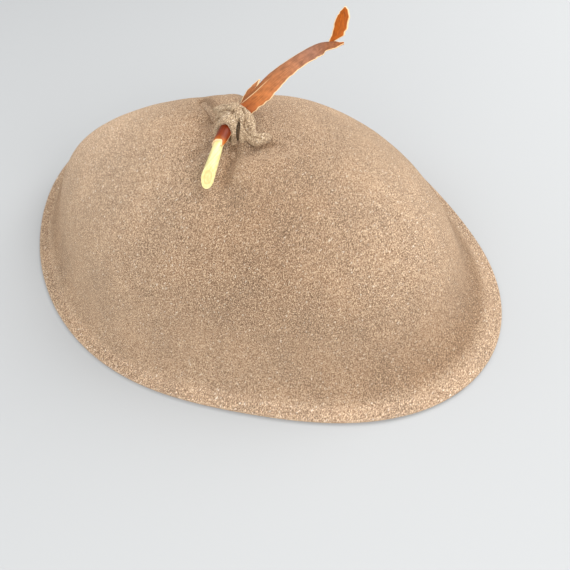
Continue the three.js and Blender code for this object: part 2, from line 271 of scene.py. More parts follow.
def skin(name, rings, attributes=None):
    """A closed mesh over rings of points (rows, around, 3): a quad between neighbours, and a fan to
    the ring's mean at both ends. Its faces are turned round if its signed volume, the sum of
    a . (b x c) / 6 over its triangles, is negative."""
    rows, around = rings.shape[:2]
    ends = np.stack([rings[0].mean(axis=0), rings[-1].mean(axis=0)])
    points = np.concatenate([rings.reshape(-1, 3), ends])
    here = np.arange(around)
    after = np.roll(here, -1)
    down = np.arange(rows - 1)[:, None] * around
    quads = np.stack([down + here, down + after, down + after + around, down + here + around], -1)
    quads = quads.reshape(-1, 4)
    last = (rows - 1) * around
    first_fan = np.stack([np.full(around, rows * around), after, here], -1)
    last_fan = np.stack([np.full(around, rows * around + 1), last + here, last + after], -1)
    fans = np.concatenate([first_fan, last_fan])
    triangles = np.concatenate([quads[:, :3], quads[:, [0, 2, 3]], fans])
    a, b, c = np.moveaxis(points[triangles], 1, 0)
    volume = (a * np.cross(b, c)).sum() / 6
    if volume < 0:
        quads, fans = quads[:, ::-1], fans[:, ::-1]
    mesh = bpy.data.meshes.new(name)
    mesh.from_pydata((points * MM).tolist(), [], quads.tolist() + fans.tolist())
    mesh.shade_smooth()
    for label, values in (attributes or {}).items():
        add_attribute(mesh, label, np.append(values.ravel(), [values[0].mean(), values[-1].mean()]))
    print(f"{name}: {len(triangles)} triangles, {abs(volume) / MM3_PER_CM3:.2f} cm3")
    return mesh


def add_piece(name, mesh, material, slot, *nodes):
    """Shows a mesh with a material as a piece that rides on the hat, and hides the nodes it stands for.
    The slot is not used.
    """
    piece = bpy.data.objects.new(name, mesh)
    bpy.context.scene.collection.objects.link(piece)
    mesh.materials.append(material)
    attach(piece, "root")
    if nodes:
        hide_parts(*nodes)
    return piece


def lattice_noise(x, y, cell, seed):
    """Smooth noise from -1 to 1: seeded random values on a square lattice with the given cell,
    blended by the smoothstep 3f^2 - 2f^3 of the place f within the cell."""
    table = np.random.default_rng(seed).uniform(-1, 1, (LATTICE, LATTICE))
    across, along = x / cell, y / cell
    i, j = np.floor(across).astype(int), np.floor(along).astype(int)
    f, g = across - i, along - j
    f, g = f * f * (3 - 2 * f), g * g * (3 - 2 * g)
    this_row, next_row = i % LATTICE, (i + 1) % LATTICE
    near, far = (
        table[this_row, (j + step) % LATTICE] * (1 - f) + table[next_row, (j + step) % LATTICE] * f
        for step in (0, 1)
    )
    return near * (1 - g) + far * g


def bell(t, middle, width):
    """exp(-((t - middle) / width)^2): 1 at the middle, and near 0 two widths away."""
    return np.exp(-(((t - middle) / width) ** 2))


def unit(vectors):
    """Each vector divided by its length."""
    return vectors / np.linalg.norm(vectors, axis=-1, keepdims=True)


print("shapes are measured from", np.round(FROM_TIP, 2), "mm")

# %% [markdown]
# The felt body
#
# A felt body starts as a cone of matted wool. It is steamed, pulled over a block and dried, which
# gives it one flowing skin with no seam. It could be sculpted or be a subdivided cage. Here it is
# a fan of profiles round the crown's tip, each a B-spline from the tip down to the cut edge. Twelve
# sections say how far out the edge is and how full the crown is, and a periodic blend joins them.
# Folds run into the knot, where the felt is drawn up.

# %% Felt body: sizes
WALL = 2.0  # the felt's thickness, in mm as all the sizes are
CROWN_HEIGHT = 70.0
EDGE = 3.0  # the brim lies level for the last two of these
SECTIONS = {  # every 30 degrees from +X towards +Y; the shoulder is a share of the crown's reach
    "rim": [139, 119, 112, 106, 104, 128, 128, 114, 108, 107, 113, 135],
    "brim": [22, 15, 14, 15, 18, 20, 14, 15, 14, 14, 17, 21],
    "root_height": [10, 9, 9, 8, 8, 8, 9, 10, 11, 12, 12, 11],
    "shoulder": [0.89, 0.89, 0.89, 0.89, 0.90, 0.91, 0.93, 0.92, 0.90, 0.89, 0.88, 0.88],
    "shoulder_height": [44, 40, 34, 32, 26, 18, 35, 42, 46, 47, 47, 47],
}
TOP_REACH = 0.42  # how far the tip's level row reaches, as a share of the crown's reach
BRIM_DIP, BRIM_RISE = 0.35, 1.2  # the brim's middle: this share of the root's height, and this more

# A fold is a ridge (height > 0) or valley along a line from x0, y0 to x1, y1, with a width.
FOLDS = [
    # x0, y0, x1, y1, width, height
    (-19, 12, -7, 7, 12, 5.5),  # felt pulled up behind the knot
    (-29, 9, -10, -11, 4, -2.5),  # valley on the left
    (-13, -18, -5, -37, 7, -1.5),  # valley left of the twig
    (4, -17, 13, -41, 5, -1.5),  # valley right of the twig
    (8, -16, 22, -8, 4, -1.5),  # valley under the right lobe
    (-21, -53, -9, -73, 14, -1.5),  # soft dent in the front
]
FINE_FOLDS = [
    # x0, y0, x1, y1, width, height
    (-7, -13, -13, -27, 2.6, -0.9),  # beside the twig on its left
    (1.8, -12.5, 8, -34, 2.6, -2.0),  # beside the twig on its right
    (-29.5, 12.8, -14, -0.8, 1.7, -3.0),  # left of the pulled-up felt
    (-13, 19, -6, 8, 5.5, 1.8),  # the pulled-up felt, which runs down to the knot
    (-22, 15, -20, 13, 5, -0.8),  # behind the valley on the left
    (10.5, -9.5, 17.5, -4.5, 1.8, -1.8),  # under the roll
    (-12, -6, -9, -9, 4, 1.6),  # felt that rises to the knot on its left
    (-12, -2, -22, -3, 3, -0.6),  # left of the knot
    (14, -3, 24, 2, 3.5, -0.5),  # right of the knot
]
LUMPS = [(0.35, 27, 3), (0.14, 9, 5)]  # soft unevenness: height, cell, seed
LUMPS_FADE = 6  # they fade towards the cut edge as 1 less this power of t


# %% Felt body: formulas
def around_circle(column, angle):
    """A repeating column's value at each angle: each of its n rows times
    sin(n a / 2) / (n tan(a / 2)), where a is the angle from that row."""
    count = len(column)
    away = angle[..., None] - np.arange(count) * 2 * np.pi / count
    on_row = np.abs(np.sin(away / 2)) < 1e-9
    weight = np.sin(count * away / 2) / np.where(on_row, 1, count * np.tan(away / 2))
    return np.where(on_row, 1, weight) @ np.asarray(column, float)


def bspline(control, t):
    """A uniform cubic B-spline through arrays of control values, its end values held, and its slope."""
    padded = np.stack([control[0]] * 2 + list(control) + [control[-1]] * 2)
    spans = len(padded) - 3
    span = np.minimum((t * spans).astype(int), spans - 1)
    f = t * spans - span
    weights = [(1 - f) ** 3, 3 * f**3 - 6 * f**2 + 4, -3 * f**3 + 3 * f**2 + 3 * f + 1, f**3]
    slopes = [-((1 - f) ** 2), 3 * f**2 - 4 * f, -3 * f**2 + 2 * f + 1, f**2]
    picked = [np.take_along_axis(padded, (span + k)[None], axis=0)[0] for k in range(4)]
    value = sum(weight * point for weight, point in zip(weights, picked)) / 6
    return value, sum(slope * point for slope, point in zip(slopes, picked)) / 2


def fold_height(x, y, folds):
    """What the folds add to the height: the sum of height * exp(-(distance to the line / width)^2)."""
    total = np.zeros_like(x)
    for x0, y0, x1, y1, width, height in folds:
        dx, dy = x1 - x0, y1 - y0
        share = np.clip(((x - x0) * dx + (y - y0) * dy) / (dx * dx + dy * dy), 0, 1)
        away = np.hypot(x - x0 - share * dx, y - y0 - share * dy)
        total += height * bell(away, 0, width)
    return total


def felt_surface(angle, t, depth):
    """Points of the felt from the tip's foot, without its folds: the profile at each angle and
    share t, moved in by depth square to the profile. Also gives how far out each point is."""
    rim, brim, root_height, shoulder, shoulder_height = (
        around_circle(column, angle) for column in SECTIONS.values()
    )
    root, top, wall = rim - brim, np.full_like(rim, CROWN_HEIGHT), np.full_like(rim, WALL)
    crown_out = [0 * rim, TOP_REACH * root, shoulder * root, root]
    out = crown_out + [root + brim / 2, rim - 2 * EDGE, rim - EDGE, rim]
    up = [top, top, shoulder_height, root_height, BRIM_DIP * root_height + BRIM_RISE, wall, wall, wall]
    reach, reach_slope = bspline(out, t)
    height, height_slope = bspline(up, t)
    steep = np.hypot(reach_slope, height_slope)
    level = steep < 1e-3
    steep = np.where(level, 1, steep)
    reach = reach + np.where(level, 0, depth * height_slope / steep)
    drop = np.where(level, depth, depth * reach_slope / steep)
    x, y = reach * np.cos(angle), reach * np.sin(angle)
    return x, y, height - drop, reach


print("felt body:", len(FOLDS), "folds and", len(FINE_FOLDS), "fine folds")

# %% [markdown]
# Painted light and shade on the felt
#
# Felt has a short nap, and it lightens and darkens with the light as velvet does. It could be hair,
# but at this size hair is much finer than the picture shows. So each point of the mesh holds a
# number for the light and shade painted there, and the finish lightens or darkens by it: painted
# sheen on the shoulder, painted light on the brim and the cut edge, and painted shade in the brim's
# valley, on the crown's right wall and left top, and in the fine valleys and the knot's creases.

# %% Felt body: painted light and shade
PAINTED_BANDS = {  # bands of the profile with painted light (amount > 0) and painted shade: amount, share t, width in t
    # the shoulder's band is painted sheen, and the other three bands are painted shade
    "shoulder": (1.2, 0.30, 0.09),
    "brim_valley": (-1.1, 0.53, 0.10),
    "right_wall": (-1.0, 0.27, 0.14),
    "left_top": (-0.8, 0.18, 0.07),
}
RIGHT_WALL_FACES, LEFT_TOP_FACES, BRIM_FACES = np.radians([-25.7, 170, -45])
END_BANDS_LEAST = 0.1  # what is left of the first two bands at the hat's front and back
EDGE_FROM, EDGE_HIGHLIGHT = 0.955, 0.3  # painted highlight on the cut edge
BRIM_FROM, BRIM_WITHIN = 0.55, 0.12  # the brim's painted light sets in over this stretch of t
BRIM_LIGHT, BRIM_TURN = 0.35, 0.5  # the brim's painted light, and how much it changes round the hat
VALLEY_SHADE = 0.45  # painted shade for each mm of a fine fold's depth


def painted_band(name, t):
    """One band's amount of painted light and shade at shares t of the profile."""
    amount, middle, width = PAINTED_BANDS[name]
    return amount * bell(t, middle, width)


def felt_painted_light_and_shade(angle, t, fine_folds):
    """Painted light and shade, from shaded (-1) to lit (1): painted sheen on the shoulder and painted
    shade in the brim's valley at the hat's two ends, by cos^4, painted light on the cut edge and on
    the brim, most at the front right, painted shade on the crown's right wall and its left top, by
    cos where that is positive, and painted shade in the fine valleys."""
    at_ends = END_BANDS_LEAST + (1 - END_BANDS_LEAST) * np.cos(angle) ** 4
    on_right_wall = np.clip(np.cos(angle - RIGHT_WALL_FACES), 0, 1)
    on_left_top = np.clip(np.cos(angle - LEFT_TOP_FACES), 0, 1)
    on_brim = np.clip((t - BRIM_FROM) / BRIM_WITHIN, 0, 1)
    painted_light_and_shade = at_ends * (painted_band("shoulder", t) + painted_band("brim_valley", t)) + EDGE_HIGHLIGHT * (t > EDGE_FROM)
    painted_light_and_shade += on_brim * (BRIM_LIGHT + BRIM_TURN * np.cos(angle - BRIM_FACES))
    painted_light_and_shade += on_right_wall * painted_band("right_wall", t) + on_left_top * painted_band("left_top", t)
    return painted_light_and_shade + VALLEY_SHADE * np.minimum(fine_folds, 0)


print("nap bands:", ", ".join(PAINTED_BANDS))

# %% [markdown]
# The felt's cut edge
#
# The brim ends in a raw edge that was cut with shears and has softened in use, so it has no sharp
# corners. A bevel modifier could round it, by the mesh's own corners. Here the outside is lowered
# and the inside is raised over the last millimetre, so that both meet in a half circle of a real
# size.

# %% Felt body: rings
AROUND, OUTSIDE_RINGS, INSIDE_RINGS = 420, 139, 59
NEXT_TO_TIP = 0.03  # the share t of the first and the last ring


def felt_body():
    """Rings from the tip over the outside, round the cut edge, and back up the inside, and their
    painted light and shade. The edge is rounded by 1 - sqrt(1 - u^2) times half the felt over its last
    millimetre, u."""
    outside = np.linspace(NEXT_TO_TIP, 1, OUTSIDE_RINGS)
    inside = np.linspace(1, NEXT_TO_TIP, INSIDE_RINGS + 1)[1:]
    t = np.concatenate([outside, inside])[:, None]
    outer = (np.arange(len(t)) < len(outside))[:, None]
    angle = np.linspace(0, 2 * np.pi, AROUND, endpoint=False)[None]
    t, angle = np.broadcast_arrays(t, angle)
    x, y, z, reach = felt_surface(angle, t, np.where(outer, 0.0, WALL))
    fine_folds = fold_height(x, y, FINE_FOLDS)
    lumps = sum(height * lattice_noise(x, y, cell, seed) for height, cell, seed in LUMPS)
    lumps = (lumps + fine_folds * outer) * (1 - t**LUMPS_FADE)
    half = WALL / 2
    z = np.maximum(z + fold_height(x, y, FOLDS) + lumps, np.where(outer, half, 0.0))
    beyond = np.clip((reach - around_circle(SECTIONS["rim"], angle)) / half + 1, 0, 1)
    z += np.where(outer, -half, half) * (1 - np.sqrt(1 - beyond**2))
    return np.stack([x, y, z], -1) + FROM_TIP, {"painted_light_and_shade": felt_painted_light_and_shade(angle, t, fine_folds) * outer}


felt_mesh = skin("felt_hat_body", *felt_body())

# %% [markdown]
# The felt's finish
#
# Wool felt is a mat of fine fibres with no weave. This one is heathered: light and dark wool were
# carded together before felting, so it is a warm taupe made of short curled flecks. A noise that is
# stretched and turned four ways gives the flecks, a wide one drifts the colour, a sparse one leaves
# light tufts, and sheen stands for the short nap that catches light where the felt turns away. A
# wool fibre is 0.02 to 0.03 mm thick. The flecks are drawn coarser, at about 0.3 mm by 0.7 mm, as
# tufts of fibres are, because a single fibre is much finer than the picture shows.

# %% Felt material
FLECKS = [(0.4, 0.26), (1.2, 0.31), (2.0, 0.26), (2.8, 0.31)]  # how far turned, size in mm
FLECK_TILT, FLECK_STRETCH = (0.3, 0.2), (1, 0.4, 0.8)
FLECK_DETAIL, FLECK_CURL, FLECK_LOW, FLECK_HIGH = 2, 0.8, 0.84, 1.16
DRIFT_SIZE, DRIFT_DETAIL, DRIFT_LOW, DRIFT_HIGH, DRIFT_AMOUNT = 22, 5, 0.35, 0.65, 0.48
TUFT_SIZE, TUFT_DETAIL, TUFT_LOW, TUFT_HIGH, TUFT_COLOUR = 0.7, 1, 0.67, 0.76, "#f2e6d4"
FELT_BUMP, FELT_BUMP_DEPTH = 0.6, 0.2 * MM
DEEPEST_SHADE = -3  # the darkest painted shade, in the deepest creases
# tints that the colour is multiplied by, from painted shade at the low end to painted light at 1
LIGHT_AND_SHADE_TINTS = [(0.0, (0.10, 0.08, 0.07)), (0.5, (0.58, 0.52, 0.46)), (0.75, (0.80, 0.78, 0.75)), (1.0, 1.0)]


def wool_felt(name, dark, middle, light, drift):
    """Matt wool felt. Three shades mixed by flecks look like carded wool, two tints that the colour
    drifts between make it uneven as a dyed body is, light tufts stand for loose fibres, and a
    tint paints shade into creases and valleys and paints light where the felt is lit. The sheen is the
    nap's soft rim."""
    material, tree, shader = new_material(name, {
        "Roughness": 0.95, "Specular IOR Level": 0.1, "Sheen Weight": 0.75, "Sheen Roughness": 0.55,
        "Sheen Tint": linear("#b39b83")})
    place = object_place(tree)
    turned = [stretched(tree, place, FLECK_STRETCH, (*FLECK_TILT, turn)) for turn, _ in FLECKS]
    a, b, c, d = (
        noise(tree, where, size * MM, FLECK_DETAIL, FLECK_CURL)
        for where, (_, size) in zip(turned, FLECKS)
    )
    light_flecks, dark_flecks = combined(tree, "MAXIMUM", a, b), combined(tree, "MINIMUM", c, d)
    flecks = combined(tree, "ADD", light_flecks, dark_flecks)
    flecks = spread(tree, flecks, FLECK_LOW, FLECK_HIGH)
    colour = colour_ramp(tree, flecks, [(0.0, dark), (0.5, middle), (1.0, light)])
    drifting = noise(tree, place, DRIFT_SIZE * MM, DRIFT_DETAIL)
    drifting = spread(tree, drifting, DRIFT_LOW, DRIFT_HIGH)
    tint = mixed(tree, drifting, linear(drift[0]), linear(drift[1]))
    colour = mixed(tree, DRIFT_AMOUNT, colour, tint, "OVERLAY")
    tufts = noise(tree, turned[-1], TUFT_SIZE * MM, TUFT_DETAIL)
    tufts = spread(tree, tufts, TUFT_LOW, TUFT_HIGH)
    colour = mixed(tree, tufts, colour, linear(TUFT_COLOUR))
    # painted light and shade, read from the mesh
    painted_tint = colour_ramp(tree, spread(tree, attribute(tree, "painted_light_and_shade"), DEEPEST_SHADE, 1), LIGHT_AND_SHADE_TINTS)
    colour = mixed(tree, 1.0, colour, painted_tint, "MULTIPLY")
    feed(tree, shader, colour, flecks, FELT_BUMP, FELT_BUMP_DEPTH)
    print("material:", name, "with", len(tree.nodes), "nodes")
    return material


felt = wool_felt("heathered_wool_felt", "#745f4d", "#b79e85", "#fae8d3", ("#756b61", "#b39b86"))
add_piece("felt_hat_body", felt_mesh, felt, "felt", "felt_crown")

# %% [markdown]
# The knot
#
# The knot is the crown's own felt, cut into straps and tied over the twig: one strap goes over the
# bark in front, another crosses behind it, comes down beside it and curls to the right. Wet felt
# creases softly and its layers press into each other. Separate straps would show hard seams where
# they meet. So each strap is swept along its path with a flat rounded section, and all of them are
# remeshed as one skin and smoothed, which rounds the creases as felting does.

# %% Knot: straps
ROUND_OFF = 0.6  # the power of the straps' section: 1 is an ellipse, and less is squarer
STRAPS = {  # a point to face away from, and rows of x, y, z from the tip's foot, wide, thick
    "front_loop": ((-2.6, -8, 74.5), [
        (-9.6, -7.6, 66, 5.6, 3.2), (-7.9, -8.4, 72.8, 5.6, 3.2), (-6.0, -8.6, 77, 5.6, 3.1),
        (-3.4, -8.7, 79.6, 5.6, 3.1), (-1.1, -8.8, 79.3, 5.4, 2.8), (0.7, -9.4, 77, 5, 2.5),
        (1.3, -10.0, 73.6, 5, 2.4), (0.8, -9.9, 68, 5, 2.2),
    ]),
    "middle_fold": ((-0.5, -3, 74), [
        (-13.4, 0.2, 66, 5.6, 3), (-11.6, -1.5, 73, 5.4, 3), (-7.9, -3.4, 77.8, 5, 3),
        (-4, -4.1, 80.4, 4.8, 3), (-0.4, -4, 80.8, 4.6, 3), (2.6, -5, 79.4, 4.6, 3),
        (4.3, -7.2, 76.6, 4.6, 3.2), (4.9, -8.3, 73.2, 4.6, 3.4), (4.6, -7.4, 67, 4.6, 3.4),
    ]),
    "rear_strap": ((-4, 0, 50), [
        (-15.6, 9.6, 69.5, 11, 4.6), (-12.4, 6.6, 72.8, 11.5, 4.6), (-9.4, 3.2, 75.5, 11.5, 4.2),
        (-5.6, -0.6, 78.4, 10, 3.8), (-1.3, -2, 79.5, 8.6, 3.2), (2.2, -2.4, 78.3, 7.8, 3.2),
        (4.2, -3.1, 76.2, 7, 4), (5.6, -5.7, 74, 6.5, 5), (8.3, -8, 72.6, 6, 5.2),
        (11.6, -8.1, 72, 5.5, 5), (13.6, -5.6, 71.8, 4.6, 4.2), (13.9, -1.5, 70, 3.2, 3.2),
    ]),
}


def along_rows(rows, t):
    """A table's columns at shares t of its length: Catmull-Rom through the rows, its end rows held."""
    rows = np.asarray(rows, float)
    spans = len(rows) - 1
    span = np.minimum((t * spans).astype(int), spans - 1)
    f = (t * spans - span)[..., None]
    a, b, c, d = (rows[np.clip(span + k, 0, spans)] for k in (-1, 0, 1, 2))
    return b + 0.5 * f * (c - a + f * (2 * a - 5 * b + 4 * c - d + f * (3 * b - 3 * c + d - a)))


def strap(rows, anchor, rings=70, sides=28):
    """Rings of a flat, rounded band along rows of x, y, z, wide, thick. Its thickness points away
    from the anchor, and its section is a superellipse, |cos|^0.6 by |sin|^0.6."""
    table = along_rows(rows, np.linspace(0, 1, rings))
    place, wide, thick = table[:, :3], table[:, 3:4], table[:, 4:5]
    tangent = unit(np.gradient(place, axis=0))
    away = place - np.asarray(anchor, float)
    away = unit(away - (away * tangent).sum(axis=1, keepdims=True) * tangent)
    side = np.cross(tangent, away)
    turn = np.linspace(0, 2 * np.pi, sides, endpoint=False)
    waves = np.stack([np.cos(turn), np.sin(turn)])
    a, b = (np.sign(waves) * np.abs(waves) ** ROUND_OFF)[..., None]
    outline = a * (side * wide)[:, None] / 2 + b * (away * thick)[:, None] / 2
    return place[:, None] + outline + FROM_TIP


straps = {name: skin(name, strap(rows, anchor)) for name, (anchor, rows) in STRAPS.items()}

# %% [markdown]
# The knot's creases
#
# Where layers of felt meet and bend they leave narrow creases, and a deeper slit where the loop and
# the roll part. They could be cut with a boolean, which leaves sharp edges. Here each is a line in
# plan. The knot's points are pushed in near it along their normals, and painted shade darkens the
# felt by each crease's depth. Two noises make the rest of the felt uneven.

# %% Knot: creases
VOXEL = 0.28 * MM
SOFTENING, SOFTENING_STEPS = 0.5, 4
CREASES = [  # a width and a depth in mm, and a line in plan through points x, y from the tip's foot
    (0.24, 2.4, [(1.9, -7.2), (2.7, -9.2)]),  # slit beside the loop
    (0.36, 3.0, [(2.6, -9.0), (2.8, -10.8)]),  # the slit's wider end
    (0.6, 1.2, [(-9.4, -4.7), (-5.8, -4.5), (-1.6, -5.9)]),  # behind the front loop
    (0.5, 0.6, [(-1.6, -7), (-0.1, -3.1)]),  # across the top
    (0.5, 0.9, [(-13, 3.4), (-5.9, -1.5)]),  # along the rear strap
    (0.45, 0.8, [(-7.1, 0.6), (-1.9, -0.3)]),  # over the rear strap
    (0.5, 1.1, [(0.5, -0.5), (4.3, -4), (5.2, -8)]),  # where the roll starts
    (0.5, 0.9, [(6.2, -8.5), (9.8, -9.8), (13.6, -8.5)]),  # along the roll
    (0.5, 1.0, [(5.4, -5.4), (7.6, -7)]),  # on the roll's shoulder
]
WRINKLES = [  # height, cell, seed, and what each mm of height moves the pattern in x and y
    (0.38, 3.2, 31, 0.6, -0.5),
    (0.2, 1.4, 32, -0.8, 0.7),
]
KNOT_LIGHT, CREASE_SHADE = 0.2, 0.25  # painted light on the whole knot, and the share of a crease's depth squared that adds painted shade


def crease_depth(points):
    """How far the creases push the felt in at points in mm, as numbers below 0: each depth times
    bell(distance in plan to the crease's line)."""
    pushed = np.zeros(len(points))
    plan = points[:, :2]
    for width, depth, corners in CREASES:
        corners = np.array(corners) + FROM_TIP[:2]
        away = np.full(len(points), np.inf)
        for start, end in zip(corners[:-1], corners[1:]):
            line = end - start
            share = np.clip((plan - start) @ line / (line @ line), 0, 1)[:, None]
            away = np.minimum(away, np.linalg.norm(plan - start - share * line, axis=1))
        pushed -= depth * bell(away, 0, width)
    return pushed


def felted_together(meshes):
    """All meshes as one: remeshed with 0.28 mm voxels and smoothed."""
    joined = bmesh.new()
    for mesh in meshes:
        joined.from_mesh(mesh)
    mesh = bpy.data.meshes.new("knot_straps")
    joined.to_mesh(mesh)
    joined.free()
    form = bpy.data.objects.new("knot_straps", mesh)
    bpy.context.scene.collection.objects.link(form)
    remesh = form.modifiers.new("felted_together", "REMESH")
    remesh.mode, remesh.voxel_size = "VOXEL", VOXEL
    smooth = form.modifiers.new("softened", "SMOOTH")
    smooth.factor, smooth.iterations = SOFTENING, SOFTENING_STEPS
    shown = form.evaluated_get(bpy.context.evaluated_depsgraph_get())
    knot = bpy.data.meshes.new_from_object(shown)
    bpy.data.objects.remove(form)
    return knot


def knot_mesh():
    """The straps felted together, wrinkled and creased along their normals, with painted light and
    shade: a little painted light on the whole knot, and painted shade by the creases' depth and a quarter
    of its square."""
    knot = felted_together(straps.values())
    knot.name = "felt_knot_straps"
    points, normals = np.empty((2, len(knot.vertices), 3), np.float32)
    knot.vertices.foreach_get("co", points.ravel())
    knot.vertices.foreach_get("normal", normals.ravel())
    x, y, z = (points / MM).T
    wrinkled = sum(height * lattice_noise(x + in_x * z, y + in_y * z, cell, seed)
                   for height, cell, seed, in_x, in_y in WRINKLES)
    creased = crease_depth(points / MM)
    points += normals * ((wrinkled + creased) * MM)[:, None]
    knot.vertices.foreach_set("co", points.ravel())
    # painted light on the knot, and painted shade in its creases and slit
    add_attribute(knot, "painted_light_and_shade", KNOT_LIGHT + creased - CREASE_SHADE * creased**2)
    knot.shade_smooth()
    print("felt knot:", len(knot.polygons), "faces")
    return knot


# The knot is the crown's own felt, painted a little lighter and greyer for the light on the raised knot.
knot_felt = wool_felt("lit_knot_wool_felt", "#6e5e4e", "#bba58c", "#faead3", ("#8a8072", "#a39380"))
add_piece("felt_knot_straps", knot_mesh(), knot_felt, "knot_felt", "felt_knot")

# %% [markdown]
# The peeled twig
#
# The twig is a young shoot of about 5.6 mm. Its bark is stripped off in front, which leaves smooth
# cream wood, and a knife has cut its end on a slant, so the end shows an oval with its pith. It
# could be a cylinder with a bevel. A swept round section whose first rings lie in the cut's plane
# gives the slant and its crisp rim in the same skin.

# %% Twig wood: rings
TWIG = [(3.2, -37.2, 72.1), (1.0, -29.2, 72.9), (-1.4, -20.4, 73.9), (-2.5, -11.5, 74.8),
        (-2.3, -3.5, 75.7)]
WOOD_RADIUS_CUT, WOOD_RADIUS_KNOT = 2.8, 2.2
CUT_SLANT = 1.5  # how far the cut runs back for each mm of height
CUT_SHARES = (0.05, 0.2, 0.35, 0.5, 0.65, 0.8, 0.9, 0.95, 0.98, 1.0)  # rings of the cut, of its radius
BEHIND_CUT = 12  # a twelfth of the rings is left out behind the cut, which the slant needs
BLEND_RINGS = 12  # and this many rings join the cut to the next one
UNEVEN = [(0.025, 2, 0.6, 0), (0.012, 5, 0, 3)]  # share of the radius, waves, phase, twist


def across_path(place, lean=0.0):
    """Unit tangent, right and up of a path, turned about the tangent by lean degrees."""
    tangent = unit(np.gradient(place, axis=0))
    right = unit(np.cross(tangent, [0, 0, 1]))
    up = np.cross(right, tangent)
    lean = np.radians(lean)
    return tangent, right * np.cos(lean) - up * np.sin(lean), up * np.cos(lean) + right * np.sin(lean)


def twig_rings(around=48, length_rings=90):
    """Round rings along the twig, and how near each point is to the middle of the cut. The first
    rings lie in the slanted cut, at shares of its radius."""
    t = np.linspace(0, 1, length_rings)
    place = along_rows(TWIG, t)
    tangent, right, up = across_path(place)
    radius = np.interp(t, [0, 0.5, 1], [WOOD_RADIUS_CUT, WOOD_RADIUS_KNOT, WOOD_RADIUS_KNOT])
    turn = np.linspace(0, 2 * np.pi, around, endpoint=False)
    uneven = sum(share * np.sin(waves * turn + phase + twist * t[:, None])
                 for share, waves, phase, twist in UNEVEN)
    radius = radius[:, None] * (1 + uneven)
    rings = (place[:, None] + (radius * np.cos(turn))[..., None] * right[:, None]
             + (radius * np.sin(turn))[..., None] * up[:, None])
    shares = np.array(CUT_SHARES)[:, None]
    cut = place[0] + shares[..., None] * (rings[0] - place[0])
    height = (cut - place[0]) @ up[0]
    cut = cut + tangent[0] * (CUT_SLANT * height[..., None] - WOOD_RADIUS_CUT)
    keep = rings[length_rings // BEHIND_CUT:]
    blend = (np.linspace(0, 1, BLEND_RINGS + 2)[1:-1] ** 2)[:, None, None]
    between = cut[-1] * (1 - blend) + keep[0] * blend
    rings = np.concatenate([cut, between, keep])
    in_cut = np.zeros(rings.shape[:2])
    in_cut[:len(cut)] = 1 - shares
    return rings + FROM_TIP, {"in_cut": in_cut}


twig_mesh = skin("peeled_twig", *twig_rings())

# %% [markdown]
# The wood's finish
#
# Freshly peeled wood is smooth, slightly moist and almost white, with faint lines along its fibres.
# The cut shows a warmer ring and a small pith. It could be one pale colour, which would look like
# plastic. A noise that is stretched along the twig gives the fibres, and a ramp from the cut's
# middle outwards gives the ring and the pith.

# %% Twig wood: material
GRAIN_SIZE, GRAIN_DETAIL, GRAIN_STRETCH, GRAIN_TURN = 0.8, 4, (1, 0.06, 1), (0, 0, -0.13)
GRAIN_SHADES = [(0.35, "#ddd088"), (0.7, "#f0eaae")]
HEART_SHADES = [(0.0, 0), (0.12, 0.2), (0.3, 0.12), (0.42, 0.65), (0.6, 0.35), (1.0, 0.6)]
WOOD_BUMP, WOOD_BUMP_DEPTH = 0.25, 0.1 * MM


def peeled_wood():
    """Smooth fresh wood: the grain gives cream with fine lengthwise lines, and the heart's ramp a
    warmer ring and pith in the cut. Its gloss is low, as of wood that is still a little moist."""
    material, tree, shader = new_material("fresh_peeled_wood", {
        "Roughness": 0.5, "Specular IOR Level": 0.4})
    drawn = stretched(tree, object_place(tree), GRAIN_STRETCH, GRAIN_TURN)
    grain = noise(tree, drawn, GRAIN_SIZE * MM, GRAIN_DETAIL)
    heart = colour_ramp(tree, attribute(tree, "in_cut"), HEART_SHADES)
    colour = mixed(tree, heart, colour_ramp(tree, grain, GRAIN_SHADES), linear("#e0a868"))
    feed(tree, shader, colour, grain, WOOD_BUMP, WOOD_BUMP_DEPTH)
    print("material:", material.name, "with", len(tree.nodes), "nodes")
    return material


add_piece("peeled_twig", twig_mesh, peeled_wood(), "peeled_wood", "twig_wood")

# %% [markdown]
# The bark
#
# Behind the knot the bark has been pulled off the wood as one strip. It keeps its curl where it
# leaves the twig, flattens as it goes, and ends in a torn fork, a blade that stands up and a short
# splinter. Bark tears along its fibres, so its edges are long, ragged and pale. A flat strip bent
# by a curve modifier would stretch at the curl. Here each section is an arc of the bark's own width
# and radius, so the strip is the same bark all along.

# %% Bark: sizes
BARK, BARK_RADIUS = 0.6, 3.1  # the bark's thickness, and its radius on the twig
BARK_ROWS = [  # x, y, z, radius, left, right, lean
    (-0.6, -23.3, 73.6, 3.1, 8.2, 4.2, 0), (-2.5, -11.5, 74.8, 3.1, 8.3, 4.5, 0),
    (-2.3, -3.5, 75.7, 3.1, 7.4, 5.0, 4), (-0.5, 2.5, 77.3, 4.2, 7.6, 5.6, 6),
    (3.5, 9.7, 80.3, 6.6, 9.6, 5.8, 6), (7.1, 16.7, 83.8, 8.2, 8.2, 5.2, 8),
    (10.6, 23.6, 86.8, 8.4, 6.0, 4.5, 10), (14.5, 30.5, 89.2, 8.0, 5.2, 3.8, 12),
    (19.0, 36.6, 91.5, 8.0, 5.0, 4.2, 10), (22.6, 39.9, 93.2, 8.0, 5.6, 4.8, 6),
    (26.0, 41.0, 94.2, 8.0, 5.0, 4.0, 0), (29.4, 42.0, 94.6, 8.0, 1.6, 2.6, 0),
    (32.0, 42.9, 95.2, 8.0, 0.8, 0.9, 0),
]
MARKS = 96  # the bark's marks from end to end, each 0.9 mm, which its finish is placed by
FRONT_BACK, FRONT_SLANT, FRONT_RAGGED = 0.008, 0.024, 0.006  # its front end, in shares of its length
